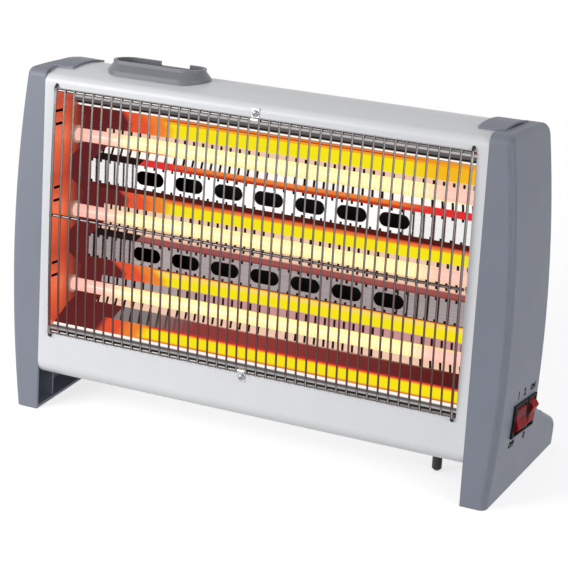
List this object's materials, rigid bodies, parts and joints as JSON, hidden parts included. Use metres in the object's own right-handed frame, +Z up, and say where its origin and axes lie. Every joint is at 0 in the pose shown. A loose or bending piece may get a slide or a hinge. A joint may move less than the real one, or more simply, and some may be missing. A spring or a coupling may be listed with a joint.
{
  "type": "radiant heater",
  "caption": "Free-standing leaning radiant heater: wire guard, glowing tubes before a reflector, moulded end-panel feet, humidifier tray, side rocker switches and tip-over plunger.",
  "frame": {"origin": "on the floor, midway between the end panels and midway between the feet's front and rear ends", "axes": "+X to the right as seen from the front, +Y to the rear, +Z up; the guard faces -Y and leans back"},
  "size_m": [0.5053, 0.16, 0.3342],
  "materials": {
    "casing_paint": "satin",
    "panel_plastic": "satin",
    "screw_steel": "satin",
    "guard_chrome": "polished",
    "clip_chrome": "polished",
    "reflector_sheet": "polished",
    "bracket_steel": "satin",
    "collar_ceramic": "matte",
    "link_steel": "satin",
    "plunger_plastic": "satin",
    "guide_plastic": "matte",
    "switch_black": "gloss",
    "terminal_plastic": "satin",
    "gland_rubber": "matte",
    "tray_plastic": "satin",
    "rocker_red": "gloss",
    "tube_quartz": "gloss",
    "core_filament": "matte"
  },
  "bodies": {
    "heater": {"front_casing": "casing_paint", "rear_cover": "casing_paint", "left_end_panel": "panel_plastic", "right_end_panel": "panel_plastic", "left_panel_screws": "screw_steel", "right_panel_screws": "screw_steel", "guard_clip_screws": "screw_steel", "front_guard": "guard_chrome", "guard_clip_top": "clip_chrome", "guard_clip_bottom": "clip_chrome", "reflector": "reflector_sheet", "left_element_bracket": "bracket_steel", "right_element_bracket": "bracket_steel", "left_tube_collars": "collar_ceramic", "right_tube_collars": "collar_ceramic", "left_link_strip": "link_steel", "right_lead_tabs": "link_steel", "plunger_guide": "guide_plastic", "tip_switch": "switch_black", "tip_switch_bracket": "bracket_steel", "terminal_block": "terminal_plastic", "cord_gland": "gland_rubber", "switch_housing_1": "switch_black", "switch_housing_2": "switch_black", "upper_heating_tube": "tube_quartz", "upper_tube_core": "core_filament", "middle_heating_tube": "tube_quartz", "middle_tube_core": "core_filament", "lower_heating_tube": "tube_quartz", "lower_tube_core": "core_filament"},
    "rocker_1": {"rocker_1": "rocker_red"},
    "rocker_2": {"rocker_2": "rocker_red"},
    "tip_plunger": {"tip_plunger": "plunger_plastic"},
    "humidifier_tray": {"humidifier_tray": "tray_plastic"}
  },
  "joints": [
    {"name": "rocker_1_tilt", "type": "hinge", "parent": "heater", "child": "rocker_1", "pos_m": [0.24283, -0.02633, 0.0679], "axis": [0, 0.9925, -0.1219], "range_deg": [0, 24]},
    {"name": "rocker_2_tilt", "type": "hinge", "parent": "heater", "child": "rocker_2", "pos_m": [0.24283, 0.00047, 0.06461], "axis": [0, 0.9925, -0.1219], "range_deg": [-24, 0]},
    {"name": "tip_plunger_drop", "type": "slide", "parent": "heater", "child": "tip_plunger", "axis": [0, 0.1219, 0.9925], "range_m": [-0.008, 0]},
    {"name": "tray_lift", "type": "slide", "parent": "heater", "child": "humidifier_tray", "axis": [0, 0.1219, 0.9925], "range_m": [0, 0.05]}
  ]
}
